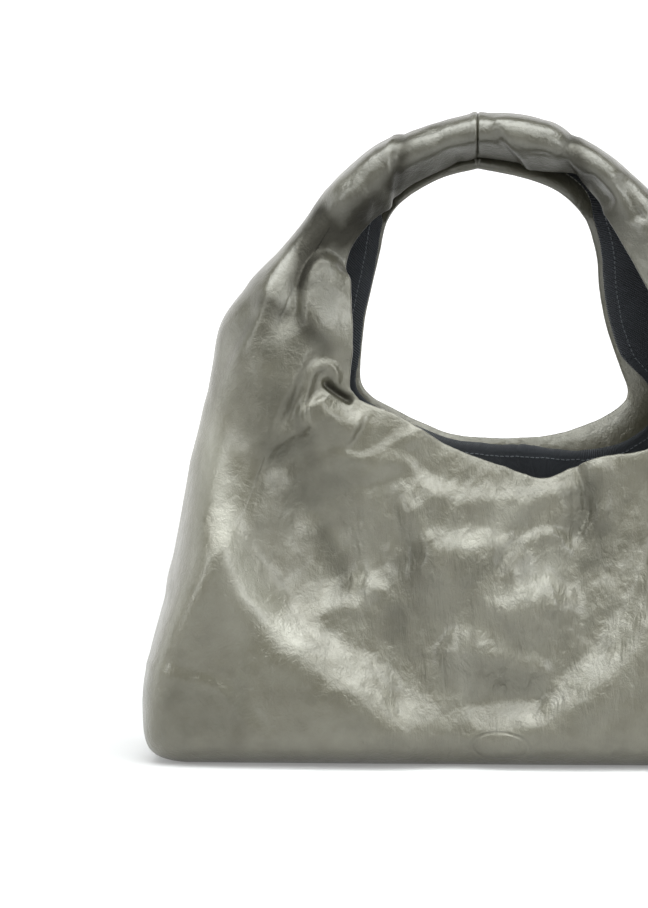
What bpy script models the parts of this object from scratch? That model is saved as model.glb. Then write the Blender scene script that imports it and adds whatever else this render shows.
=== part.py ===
"""Leather hobo bag with a handle cut in one with its panels, a twill lining and a zipped inner pocket.

Metres, +Z up, the front faces -Y. The origin is on the ground under the middle of the bag.
Every soft piece is a strip of one ruled form: ribs run from the mouth's lips out to the perimeter seam.
"""

import math

import bmesh
import bpy
import numpy as np
from mathutils import Matrix, Vector

# Driving dimensions
LEATHER = 0.0016          # panel thickness
FACING = 0.0012           # leather strip inside the mouth's lips
TWILL = 0.0008            # lining thickness
CLEAR = 0.0004            # gap between pieces that touch
SEAM_GAP = 0.0002         # half the gap between two panels at their seam
SEAM_FLAT = 0.003         # least flat width beside the perimeter seam
BOARD = 0.0016            # base stiffener thickness
HINGE_Z = 0.240           # height at which the handle folds over
NEST = 0.0052             # how far the handle's foot sits inside the pouch's rim
NEST_TOP = 0.300          # height where the handle is back on the bag's outer form
FACING_WIDTH = 0.020
TAPE_WIDTH = 0.018
TAPE_DEPTH = 0.0085       # reinforcing tape, below the handle's outer skin
HANDLE_SEAM = 0           # rib at which the handle's two halves meet
LEFT_SHOULDER = 7         # rib lying level at HINGE_Z
RIGHT_SHOULDER = 25
WALL_STEPS = 4            # columns down a panel's wall, below the facing
TURN_STEPS = 3            # columns round the turn into the base or side
LINING_COLUMN = 2         # first column below the facing

# One rib a row: outer x, z; front lip x, z; back lip x, z; half depth; half gap between the lips.
RIBS = (
    (-0.0112, 0.3968, -0.0112, 0.3708, -0.0112, 0.3650, 0.0190, 0.0030),
    (-0.0420, 0.3885, -0.0345, 0.3625, -0.0340, 0.3590, 0.0195, 0.0035),
    (-0.0740, 0.3735, -0.0570, 0.3505, -0.0560, 0.3465, 0.0210, 0.0050),
    (-0.1023, 0.3515, -0.0725, 0.3360, -0.0680, 0.3330, 0.0240, 0.0110),
    (-0.1260, 0.3210, -0.0870, 0.3125, -0.0745, 0.3100, 0.0300, 0.0210),
    (-0.1510, 0.2935, -0.0895, 0.2890, -0.0800, 0.2880, 0.0370, 0.0280),
    (-0.1690, 0.2700, -0.0888, 0.2670, -0.0845, 0.2660, 0.0425, 0.0320),
    (-0.1755, 0.2400, -0.0884, 0.2400, -0.0868, 0.2400, 0.0470, 0.0335),
    (-0.1829, 0.1953, -0.0870, 0.2270, -0.0855, 0.2275, 0.0530, 0.0340),
    (-0.1910, 0.1457, -0.0800, 0.2215, -0.0785, 0.2190, 0.0580, 0.0330),
    (-0.2003, 0.1023, -0.0700, 0.2165, -0.0690, 0.2135, 0.0610, 0.0320),
    (-0.2108, 0.0651, -0.0600, 0.2115, -0.0590, 0.2085, 0.0620, 0.0310),
    (-0.2150, 0.0350, -0.0510, 0.2060, -0.0500, 0.2040, 0.0620, 0.0305),
    (-0.2110, 0.0080, -0.0420, 0.2000, -0.0410, 0.2000, 0.0620, 0.0300),
    (-0.1900, 0.0000, -0.0330, 0.1945, -0.0320, 0.1965, 0.0630, 0.0300),
    (-0.1200, 0.0000, -0.0180, 0.1875, -0.0170, 0.1940, 0.0650, 0.0300),
    (0.0000, 0.0000, 0.0060, 0.1790, 0.0060, 0.1930, 0.0660, 0.0300),
    (0.1200, 0.0000, 0.0300, 0.1730, 0.0290, 0.1940, 0.0650, 0.0300),
    (0.1900, 0.0000, 0.0500, 0.1810, 0.0460, 0.1975, 0.0630, 0.0300),
    (0.2110, 0.0080, 0.0620, 0.1860, 0.0560, 0.2010, 0.0620, 0.0305),
    (0.2150, 0.0350, 0.0740, 0.1885, 0.0660, 0.2050, 0.0620, 0.0310),
    (0.2108, 0.0651, 0.0860, 0.1905, 0.0740, 0.2095, 0.0620, 0.0320),
    (0.2003, 0.1023, 0.0970, 0.1945, 0.0800, 0.2140, 0.0610, 0.0330),
    (0.1910, 0.1457, 0.1060, 0.2020, 0.0840, 0.2190, 0.0580, 0.0340),
    (0.1829, 0.1953, 0.1110, 0.2160, 0.0845, 0.2270, 0.0530, 0.0345),
    (0.1755, 0.2400, 0.1120, 0.2400, 0.0800, 0.2400, 0.0470, 0.0340),
    (0.1660, 0.2680, 0.1060, 0.2660, 0.0715, 0.2660, 0.0425, 0.0320),
    (0.1470, 0.2950, 0.0935, 0.2900, 0.0670, 0.2880, 0.0370, 0.0280),
    (0.1240, 0.3210, 0.0810, 0.3130, 0.0645, 0.3110, 0.0300, 0.0210),
    (0.0949, 0.3500, 0.0635, 0.3400, 0.0560, 0.3345, 0.0240, 0.0110),
    (0.0600, 0.3770, 0.0450, 0.3590, 0.0400, 0.3500, 0.0210, 0.0050),
    (0.0260, 0.3925, 0.0200, 0.3665, 0.0180, 0.3590, 0.0195, 0.0035),
    (-0.0112, 0.3968, -0.0112, 0.3708, -0.0112, 0.3650, 0.0190, 0.0030),
)

OLIVE = (0.31, 0.30, 0.26)
BLACK = (0.018, 0.021, 0.026)


# ---- the bag's form ---------------------------------------------------------------------------

def rib_positions():
    """Distance along the ring of ribs, measured midway between outer edge and lips."""
    ribs = np.array(RIBS)
    middle = (ribs[:, 0:2] + ribs[:, 2:4]) / 2
    steps = np.linalg.norm(np.diff(middle, axis=0), axis=1)
    return np.concatenate([[0.0], np.cumsum(steps)])


RIB_T = rib_positions()


def rib_at(t):
    """One rib between the listed ones, by cubic interpolation along the ring."""
    ribs = np.array(RIBS)
    last = len(RIB_T) - 1
    i = int(np.clip(np.searchsorted(RIB_T, t, side="right") - 1, 0, last - 1))
    span = RIB_T[i + 1] - RIB_T[i]
    s = (t - RIB_T[i]) / span

    def slope(k):
        low, high = max(k - 1, 0), min(k + 1, last)
        return (ribs[high] - ribs[low]) / (RIB_T[high] - RIB_T[low])

    rib = (
        (2 * s**3 - 3 * s**2 + 1) * ribs[i]
        + (s**3 - 2 * s**2 + s) * span * slope(i)
        + (3 * s**2 - 2 * s**3) * ribs[i + 1]
        + (s**3 - s**2) * span * slope(i + 1)
    )
    rib[1] = max(rib[1], 0.0)
    return rib


def smooth(low, high, x):
    s = np.clip((x - low) / (high - low), 0.0, 1.0)
    return s * s * (3 - 2 * s)


def half_section(t, side):
    """What shapes one half section: lip and outer point in X, Z, and the numbers of its two stretches."""
    ox, oz, fx, fz, bx, bz, depth, gap = rib_at(t)
    lip = np.array([fx, fz] if side < 0 else [bx, bz])
    outer = np.array([ox, oz])
    reach = np.linalg.norm(outer - lip)
    round_share = smooth(0.0, 0.12, oz)
    round_y = min(depth * (0.38 + 0.62 * round_share), depth - SEAM_FLAT)
    round_r = min(0.024 + 0.030 * round_share, 0.45 * reach)
    return lip, outer, reach, depth, gap, round_y, round_r


def section_point(t, side, share):
    """A point of one half section. share is 0 at the lip, 1 where the wall ends, 2 where the turn ends
    and 3 at the perimeter seam."""
    lip, outer, reach, depth, gap, round_y, round_r = half_section(t, side)
    if share <= 1:
        radial = share * (reach - round_r)
        across = gap + (depth - gap) * math.sin(math.pi / 2 * share)
    elif share <= 2:
        angle = (share - 1) * math.pi / 2
        radial = reach - round_r + round_r * math.sin(angle)
        across = depth - round_y + round_y * math.cos(angle)
    else:
        radial = reach
        across = depth - round_y + (share - 2) * (SEAM_GAP - depth + round_y)
    x, z = lip + (outer - lip) * radial / reach
    return np.array([x, side * across, z])


def facing_share(t, side):
    """The share of the wall that the facing's width takes."""
    _, _, reach, _, _, _, round_r = half_section(t, side)
    return min(FACING_WIDTH / (reach - round_r), 0.45)


def shares(t, side):
    """Where the panel's columns lie: on the facing, down the wall, round the turn and at the seam."""
    edge = facing_share(t, side)
    wall = [edge + (1 - edge) * k / WALL_STEPS for k in range(1, WALL_STEPS + 1)]
    turn = [1 + k / TURN_STEPS for k in range(1, TURN_STEPS + 1)]
    return [0.0, edge / 2, edge] + wall + turn + [3.0]


def frame_at(t, side, share):
    """A point on the outer skin and its outward normal."""
    small = 0.01
    p = section_point(t, side, share)
    along = section_point(t + small, side, share) - section_point(t - small, side, share)
    down = section_point(t, side, share + small) - section_point(t, side, share - small)
    normal = np.cross(along, down)
    normal /= np.linalg.norm(normal)
    return p, normal if normal[1] * side > 0 else -normal


def grid(side, t0, t1, rows):
    """Points and outward normals of one panel between two places along the ring."""
    points = np.array([
        [section_point(t, side, share) for share in shares(t, side)]
        for t in np.linspace(t0, t1, rows + 1)
    ])
    normals = side * np.cross(np.gradient(points, axis=0), np.gradient(points, axis=1))
    normals[:, -1, 1] = 0.0
    return points, normals / np.linalg.norm(normals, axis=2, keepdims=True)


# ---- objects ----------------------------------------------------------------------------------

def clear_scene():
    for obj in list(bpy.data.objects):
        bpy.data.objects.remove(obj)


def material(name, colour, roughness, metallic=0.0):
    made = bpy.data.materials.new(name)
    made.use_nodes = True
    shader = made.node_tree.nodes["Principled BSDF"]
    shader.inputs["Base Color"].default_value = (*colour, 1.0)
    shader.inputs["Roughness"].default_value = roughness
    shader.inputs["Metallic"].default_value = metallic
    return made


def link(name, mesh, look, parent=None, place=None):
    obj = bpy.data.objects.new(name, mesh)
    bpy.context.scene.collection.objects.link(obj)
    obj.data.materials.append(look)
    if parent is not None:
        obj.parent = parent
    if place is not None:
        obj.matrix_local = place
    return obj


def shell(name, points, normals, depth, thickness, look, parent=None):
    """A closed skin between two offsets of a grid: depth below the outer form, thickness further in."""
    origin = parent.location if parent is not None else Vector()
    outer = points - normals * depth - np.array(origin)
    inner = points - normals * (depth + thickness) - np.array(origin)
    rows, columns = points.shape[:2]
    form = bmesh.new()
    skins = [
        [[form.verts.new(layer[i, j]) for j in range(columns)] for i in range(rows)]
        for layer in (outer, inner)
    ]
    for i in range(rows - 1):
        for j in range(columns - 1):
            for skin, turned_over in ((skins[0], False), (skins[1], True)):
                corners = [skin[i][j], skin[i + 1][j], skin[i + 1][j + 1], skin[i][j + 1]]
                form.faces.new(corners[::-1] if turned_over else corners)
    rim = [(i, 0) for i in range(rows)] + [(rows - 1, j) for j in range(1, columns)]
    rim += [(i, columns - 1) for i in range(rows - 2, -1, -1)] + [(0, j) for j in range(columns - 2, 0, -1)]
    for (i, j), (k, m) in zip(rim, rim[1:] + rim[:1]):
        form.faces.new((skins[0][k][m], skins[0][i][j], skins[1][i][j], skins[1][k][m]))
    if form.calc_volume(signed=True) < 0:
        bmesh.ops.reverse_faces(form, faces=form.faces)
    bmesh.ops.triangulate(form, faces=form.faces)
    mesh = bpy.data.meshes.new(name)
    form.to_mesh(mesh)
    form.free()
    mesh.shade_smooth()
    mesh.set_sharp_from_angle(angle=math.radians(40))
    return link(name, mesh, look, parent)


def empty(name, place):
    obj = bpy.data.objects.new(name, None)
    bpy.context.scene.collection.objects.link(obj)
    obj.matrix_world = place
    return obj


def block(name, size, look, parent=None, place=None, bevel=0.0, centre=(0.0, 0.0, 0.0)):
    """A box whose middle lies at centre, seen from its own origin."""
    form = bmesh.new()
    bmesh.ops.create_cube(form, size=1.0)
    bmesh.ops.scale(form, vec=size, verts=form.verts)
    bmesh.ops.translate(form, vec=centre, verts=form.verts)
    mesh = bpy.data.meshes.new(name)
    form.to_mesh(mesh)
    form.free()
    obj = link(name, mesh, look, parent, place)
    if bevel:
        cut = obj.modifiers.new("edges", "BEVEL")
        cut.width = bevel
        cut.segments = 2
    return obj


def turned(name, profile, look, place, steps=28):
    """A disc or stud turned about its own Z from (radius, height) points."""
    form = bmesh.new()
    line = [form.verts.new((r, 0.0, z)) for r, z in profile]
    edges = [form.edges.new(pair) for pair in zip(line, line[1:])]
    bmesh.ops.spin(form, geom=line + edges, axis=(0, 0, 1), cent=(0, 0, 0), steps=steps,
                   angle=2 * math.pi, use_merge=True)
    bmesh.ops.remove_doubles(form, verts=form.verts, dist=1e-6)
    bmesh.ops.recalc_face_normals(form, faces=form.faces)
    mesh = bpy.data.meshes.new(name)
    form.to_mesh(mesh)
    form.free()
    mesh.shade_smooth()
    mesh.set_sharp_from_angle(angle=math.radians(40))
    return link(name, mesh, look, None, place)


def facing_matrix(point, normal):
    """Local Z along normal, local X level."""
    z = Vector(normal).normalized()
    x = Vector((1, 0, 0))
    x = (x - z * x.dot(z)).normalized()
    y = z.cross(x)
    turn = Matrix((x, y, z)).transposed().to_4x4()
    return Matrix.Translation(Vector(point)) @ turn


def box_at(x, y, z):
    return Matrix.Translation((x, y, z))


# ---- leather ----------------------------------------------------------------------------------

T_LEFT = RIB_T[LEFT_SHOULDER]
T_RIGHT = RIB_T[RIGHT_SHOULDER]
T_END = RIB_T[-1]
T_MIDDLE = RIB_T[16]


def make_pouch(leather, twill):
    """The panels below the shoulders, the strips inside their lips, and the lining below the strips."""
    rows, trim = 36, 2
    lining_depth = LEATHER + BOARD + 2 * CLEAR
    for name, side in (("front", -1), ("back", 1)):
        points, normals = grid(side, T_LEFT, T_RIGHT, rows)
        shell(f"{name}_panel", points, normals, 0.0, LEATHER, leather)
        points, normals = points[trim:-trim], normals[trim:-trim]
        lips = slice(0, LINING_COLUMN + 1)
        shell(f"{name}_mouth_facing", points[:, lips], normals[:, lips], LEATHER + CLEAR, FACING, leather)
        body = slice(LINING_COLUMN, None)
        shell(f"{name}_lining", points[:, body], normals[:, body], lining_depth, TWILL, twill)


def make_arms(leather, twill, hinge):
    """Both halves of both panels above the shoulders, and the lining inside them."""
    halves = (
        ("left", RIB_T[HANDLE_SEAM] + CLEAR, T_LEFT - CLEAR),
        ("right", T_RIGHT + CLEAR, T_END - CLEAR),
    )
    for half, t0, t1 in halves:
        for panel, side in (("front", -1), ("back", 1)):
            points, normals = grid(side, t0, t1, 11)
            sink = NEST * (1 - smooth(HINGE_Z, NEST_TOP, points[:, :, 2]))
            points = points - normals * sink[:, :, None]
            shell(f"{panel}_panel_{half}_arm", points, normals, 0.0, LEATHER, leather, hinge)
            shell(f"{panel}_lining_{half}_arm", points, normals, LEATHER + CLEAR, TWILL, twill, hinge)


def make_base_board(board):
    low = LEATHER + CLEAR
    block("base_board", (0.340, 0.080, BOARD), board, place=box_at(0, 0, low + BOARD / 2), bevel=0.0004)


def make_handle_tape(webbing, hinge):
    """The woven tape that takes the load inside the handle, from one shoulder over to the other."""
    start, end = RIB_T[5], RIB_T[27] - T_END
    rows = []
    for t in np.linspace(start, end, 29):
        ox, oz, fx, fz, bx, bz, _, _ = rib_at(t % T_END)
        inward = np.array([(fx + bx) / 2 - ox, (fz + bz) / 2 - oz])
        inward /= np.linalg.norm(inward)
        centre = np.array([ox, oz]) + inward * TAPE_DEPTH
        rows.append([(centre[0], y, centre[1]) for y in (-TAPE_WIDTH / 2, 0.0, TAPE_WIDTH / 2)])
    points = np.array(rows)
    normals = np.cross(np.gradient(points, axis=0), np.gradient(points, axis=1))
    normals /= np.linalg.norm(normals, axis=2, keepdims=True)
    outward = points[14, 1] - np.array([0.0, 0.0, 0.30])
    if normals[14, 1] @ outward < 0:
        normals = -normals
    shell("handle_tape", points, normals, 0.0, 0.0012, webbing, hinge)


# ---- magnetic snap ----------------------------------------------------------------------------

SNAP_R = 0.009
SNAP_SHARE = 0.20         # how far down the wall the snap sits


def make_snap(nickel):
    lining_face = LEATHER + BOARD + 2 * CLEAR + TWILL + CLEAR
    washer_face = LEATHER + CLEAR
    for place, side in (("front", -1), ("back", 1)):
        point, normal = frame_at(T_MIDDLE, side, SNAP_SHARE)
        inside = facing_matrix(point - normal * lining_face, -normal)
        behind = facing_matrix(point - normal * washer_face, -normal)
        washer = ((0.0, 0.0), (0.008, 0.0), (0.008, 0.0008), (0.0, 0.0008))
        turned(f"snap_washer_{place}", washer, nickel, behind)
        if side < 0:
            stud = ((0.0, 0.0), (SNAP_R, 0.0), (SNAP_R, 0.0014), (0.0034, 0.0020), (0.0030, 0.0044),
                    (0.0, 0.0044))
            turned("snap_stud", stud, nickel, inside)
        else:
            socket = ((0.0, 0.0), (SNAP_R, 0.0), (SNAP_R, 0.0026), (0.0082, 0.0034), (0.0036, 0.0034),
                      (0.0036, 0.0010), (0.0, 0.0010))
            turned("snap_socket", socket, nickel, inside)


# ---- zipped pocket on the back lining -----------------------------------------------------------

ZIP_SHARE = 0.42          # how far down the back wall the zip lies
POCKET_END_SHARE = 0.95
ZIP_LENGTH = 0.150
POCKET_WIDTH = 0.170
POCKET_HEIGHT = 0.075
POCKET_ROOM = 0.005       # between the lining and the pocket
CHAIN = 0.0026            # width of one side's coil
TAPE_ROOM = 0.0055        # tape seen beside the coil
TAPE = (ZIP_LENGTH + 0.012, 0.0100, 0.0006)
COIL_HEIGHT = 0.0018
SLIDER = (0.0110, 0.0080, 0.0026)
BRIDGE = (0.0080, 0.0022, 0.0009)
BRIDGE_ROOM = 0.0020      # height of the slot under the bridge
PULL = (0.0260, 0.0062, 0.0012)
EYE = (0.0050, 0.0032)


def pocket_matrix():
    """X along the zip, Y up the wall, Z to the inside of the bag."""
    high, normal = frame_at(T_MIDDLE, 1, ZIP_SHARE)
    low, _ = frame_at(T_MIDDLE, 1, POCKET_END_SHARE)
    up = Vector((0.0, high[1] - low[1], high[2] - low[2])).normalized()
    across = Vector((1, 0, 0))
    inward = across.cross(up)
    stand_off = LEATHER + BOARD + 2 * CLEAR + TWILL + POCKET_ROOM
    turn = Matrix((across, up, inward)).transposed().to_4x4()
    place = Vector((0.0, high[1], high[2])) + inward * stand_off
    return Matrix.Translation(place) @ turn


def make_pocket(twill, tape, nylon, nickel):
    pocket = empty("pocket_frame", pocket_matrix())
    edge = CHAIN + TAPE_ROOM
    block("pocket_front", (POCKET_WIDTH, POCKET_HEIGHT, TWILL), twill, pocket,
          box_at(0, -edge - POCKET_HEIGHT / 2, 0))
    block("pocket_top_strip", (POCKET_WIDTH, 0.010, TWILL), twill, pocket, box_at(0, edge + 0.005, 0))
    tape_z = TWILL / 2 + CLEAR + TAPE[2] / 2
    coil_z = tape_z + TAPE[2] / 2 + CLEAR + COIL_HEIGHT / 2
    for name, way in (("upper", 1), ("lower", -1)):
        block(f"zip_tape_{name}", TAPE, tape, pocket, box_at(0, way * (SEAM_GAP + TAPE[1] / 2), tape_z))
        block(f"zip_coil_{name}", (ZIP_LENGTH, CHAIN, COIL_HEIGHT), nylon, pocket,
              box_at(0, way * (SEAM_GAP + CHAIN / 2), coil_z), bevel=0.0005)
    chain_top = coil_z + COIL_HEIGHT / 2
    for name, way in (("closed_end", -1), ("open_end", 1)):
        block(f"zip_stop_{name}", (0.0030, 2 * CHAIN + 0.0012, 0.0010), nickel, pocket,
              box_at(way * (ZIP_LENGTH / 2 - 0.0016), 0, chain_top + CLEAR + 0.0005))
    start = -ZIP_LENGTH / 2 + 0.0035 + SLIDER[0] / 2
    make_slider(nickel, pocket, start, chain_top + CLEAR)
    make_pull(nickel, pocket, start, chain_top + CLEAR + SLIDER[2] + BRIDGE_ROOM / 2)


def make_slider(nickel, pocket, start, floor):
    """The slider's body with a bridge along it, under which the pull's cross bar turns."""
    slider = block("zip_slider", SLIDER, nickel, pocket, box_at(start, 0, floor + SLIDER[2] / 2))
    sunk = 0.0006
    arch = (BRIDGE[0], BRIDGE[1], BRIDGE_ROOM + BRIDGE[2] + sunk)
    bridge = block("bridge_form", arch, nickel, pocket,
                   box_at(start, 0, floor + SLIDER[2] - sunk + arch[2] / 2))
    slot = block("bridge_slot", (0.0052, 0.0100, BRIDGE_ROOM), nickel, pocket,
                 box_at(start, 0, floor + SLIDER[2] + BRIDGE_ROOM / 2))
    for helper, operation in ((bridge, "UNION"), (slot, "DIFFERENCE")):
        helper.hide_render = True
        helper.display_type = "WIRE"
        cut = slider.modifiers.new(helper.name, "BOOLEAN")
        cut.operation = operation
        cut.object = helper


def make_pull(nickel, pocket, start, axle):
    """The pull lies flat towards the open end. Its origin is on the axle, its cross bar under the bridge."""
    bar = PULL[2] / 2
    pull = block("zip_pull", PULL, nickel, pocket, box_at(start, 0, axle), centre=(PULL[0] / 2 - bar, 0, 0))
    eye = block("pull_eye", (EYE[0], EYE[1], 0.004), nickel, pocket,
                box_at(start + bar + EYE[0] / 2, 0, axle))
    eye.hide_render = True
    eye.display_type = "WIRE"
    cut = pull.modifiers.new("eye", "BOOLEAN")
    cut.operation = "DIFFERENCE"
    cut.object = eye


def main():
    clear_scene()
    leather = material("leather", OLIVE, 0.42)
    twill = material("twill", BLACK, 0.85)
    webbing = material("webbing", (0.55, 0.52, 0.46), 0.9)
    board = material("board", (0.30, 0.26, 0.20), 0.8)
    nickel = material("nickel", (0.62, 0.61, 0.58), 0.28, 1.0)
    nylon = material("nylon", (0.02, 0.02, 0.022), 0.5)
    tape = material("zip_tape", (0.02, 0.022, 0.026), 0.9)
    hinge = empty("handle_hinge", box_at(0, 0, HINGE_Z))
    make_pouch(leather, twill)
    make_arms(leather, twill, hinge)
    make_base_board(board)
    make_handle_tape(webbing, hinge)
    make_snap(nickel)
    make_pocket(twill, tape, nylon, nickel)


main()
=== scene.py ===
"""Looks of the hobo bag: soft leather, twill lining, seams, snap and pocket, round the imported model.

Metres, +Z up, the front faces -Y. The leather and the lining are fine sheets over the same ribs as the
CAD solids. Folds are strokes laid on that form in X and Z, and every layer moves with them.
"""

import math

import bpy
import numpy as np
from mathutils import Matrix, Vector, noise


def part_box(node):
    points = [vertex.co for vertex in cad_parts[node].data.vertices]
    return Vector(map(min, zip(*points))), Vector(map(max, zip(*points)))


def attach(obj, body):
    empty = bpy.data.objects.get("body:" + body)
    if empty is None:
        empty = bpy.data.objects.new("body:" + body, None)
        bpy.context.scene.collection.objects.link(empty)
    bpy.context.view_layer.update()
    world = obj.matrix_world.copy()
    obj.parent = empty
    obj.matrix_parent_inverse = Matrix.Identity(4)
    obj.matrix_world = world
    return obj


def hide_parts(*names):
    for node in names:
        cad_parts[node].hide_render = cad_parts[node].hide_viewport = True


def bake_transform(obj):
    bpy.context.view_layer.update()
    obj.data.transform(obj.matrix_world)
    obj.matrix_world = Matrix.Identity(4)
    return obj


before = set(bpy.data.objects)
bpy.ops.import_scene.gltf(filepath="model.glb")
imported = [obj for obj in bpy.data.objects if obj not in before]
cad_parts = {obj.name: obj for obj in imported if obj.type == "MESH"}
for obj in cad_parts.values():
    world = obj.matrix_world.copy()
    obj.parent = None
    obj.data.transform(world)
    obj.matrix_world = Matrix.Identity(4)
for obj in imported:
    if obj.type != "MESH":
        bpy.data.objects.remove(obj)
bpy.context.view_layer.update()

# ---- driving dimensions -------------------------------------------------------------------------

SPACING = 0.0024     # distance between rows of the leather
COLUMNS = ((80, 24, 10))      # its columns on the wall, turn and flat side
LEATHER = 0.0012          # thickness of the hide
TWILL = 0.0006            # thickness of the lining
ROLL = 0.0015             # radius of the rolled lip
LINING_DEPTH = 0.0046     # lining's face, below the leather's outside
STITCH = 0.0032           # from one stitch to the next
TUCK = 0.0030             # how far the lining runs on under the facing
EDGE_SEAM = -0.0018       # the facing's stitches, from its free edge
LINING_SEAM = 0.0036      # the lining's stitches, from the same edge
SNAP_FRONT = (0.0047, 0.1463)                  # the snap's middle on each half, X and Z
SNAP_BACK = (0.0050, 0.1576)
FLARE = 0.0090            # how far the back's lip leans back at the mouth
SEAM_TURN = 0.0010        # depth of the turned edges at the handle's seam
ENDS = 0.18               # share of a stroke over which each of its ends dies out
WANDER, WANDER_SIZE = 0.0022, 0.028            # how far a fold strays from its line, and over what length
SEEDS = {-1: 3, 1: 23}    # the creases' seed on the front and the back

# One rib a row: outer x, z; front lip x, z; back lip x, z; half depth; half gap between the lips.
RIBS = np.array((
    (-0.0112, 0.3968, -0.0112, 0.3708, -0.0112, 0.3650, 0.0190, 0.0030),
    (-0.0420, 0.3885, -0.0345, 0.3625, -0.0340, 0.3590, 0.0195, 0.0035),
    (-0.0740, 0.3735, -0.0570, 0.3505, -0.0560, 0.3465, 0.0210, 0.0050),
    (-0.1023, 0.3515, -0.0725, 0.3360, -0.0680, 0.3330, 0.0240, 0.0110),
    (-0.1260, 0.3210, -0.0870, 0.3125, -0.0745, 0.3100, 0.0300, 0.0210),
    (-0.1510, 0.2935, -0.0895, 0.2890, -0.0800, 0.2880, 0.0370, 0.0280),
    (-0.1690, 0.2700, -0.0888, 0.2670, -0.0845, 0.2660, 0.0425, 0.0320),
    (-0.1755, 0.2400, -0.0884, 0.2400, -0.0868, 0.2400, 0.0470, 0.0335),
    (-0.1829, 0.1953, -0.0870, 0.2270, -0.0855, 0.2275, 0.0530, 0.0340),
    (-0.1910, 0.1457, -0.0800, 0.2215, -0.0785, 0.2190, 0.0580, 0.0330),
    (-0.2003, 0.1023, -0.0700, 0.2165, -0.0690, 0.2135, 0.0610, 0.0320),
    (-0.2108, 0.0651, -0.0600, 0.2115, -0.0590, 0.2085, 0.0620, 0.0310),
    (-0.2150, 0.0350, -0.0510, 0.2060, -0.0500, 0.2040, 0.0620, 0.0305),
    (-0.2110, 0.0080, -0.0420, 0.2000, -0.0410, 0.2000, 0.0620, 0.0300),
    (-0.1900, 0.0000, -0.0330, 0.1945, -0.0320, 0.1965, 0.0630, 0.0300),
    (-0.1200, 0.0000, -0.0180, 0.1875, -0.0170, 0.1940, 0.0650, 0.0300),
    (0.0000, 0.0000, 0.0060, 0.1790, 0.0060, 0.1930, 0.0660, 0.0300),
    (0.1200, 0.0000, 0.0300, 0.1730, 0.0290, 0.1940, 0.0650, 0.0300),
    (0.1900, 0.0000, 0.0500, 0.1810, 0.0460, 0.1975, 0.0630, 0.0300),
    (0.2110, 0.0080, 0.0620, 0.1860, 0.0560, 0.2010, 0.0620, 0.0305),
    (0.2150, 0.0350, 0.0740, 0.1885, 0.0660, 0.2050, 0.0620, 0.0310),
    (0.2108, 0.0651, 0.0860, 0.1905, 0.0740, 0.2095, 0.0620, 0.0320),
    (0.2003, 0.1023, 0.0970, 0.1945, 0.0800, 0.2140, 0.0610, 0.0330),
    (0.1910, 0.1457, 0.1060, 0.2020, 0.0840, 0.2190, 0.0580, 0.0340),
    (0.1829, 0.1953, 0.1110, 0.2160, 0.0845, 0.2270, 0.0530, 0.0345),
    (0.1755, 0.2400, 0.1120, 0.2400, 0.0800, 0.2400, 0.0470, 0.0340),
    (0.1660, 0.2680, 0.1060, 0.2660, 0.0715, 0.2660, 0.0425, 0.0320),
    (0.1470, 0.2950, 0.0935, 0.2900, 0.0670, 0.2880, 0.0370, 0.0280),
    (0.1240, 0.3210, 0.0810, 0.3130, 0.0645, 0.3110, 0.0300, 0.0210),
    (0.0949, 0.3500, 0.0635, 0.3400, 0.0560, 0.3345, 0.0240, 0.0110),
    (0.0600, 0.3770, 0.0450, 0.3590, 0.0400, 0.3500, 0.0210, 0.0050),
    (0.0260, 0.3925, 0.0200, 0.3665, 0.0180, 0.3590, 0.0195, 0.0035),
    (-0.0112, 0.3968, -0.0112, 0.3708, -0.0112, 0.3650, 0.0190, 0.0030),
))
MIDDLE = (RIBS[:, 0:2] + RIBS[:, 2:4]) / 2
RIB_T = np.concatenate([[0.0], np.cumsum(np.linalg.norm(np.diff(MIDDLE, axis=0), axis=1))])
T_END = RIB_T[-1]


# ---- folds --------------------------------------------------------------------------------------
# A stroke is (kind, points in X and Z, width, height, reach). A ridge is round, a crease has a sharp
# bottom, and a step lifts the side to the left of its way. A fall lifts that side and sinks the other.
# Heights are metres out of the leather.

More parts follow.
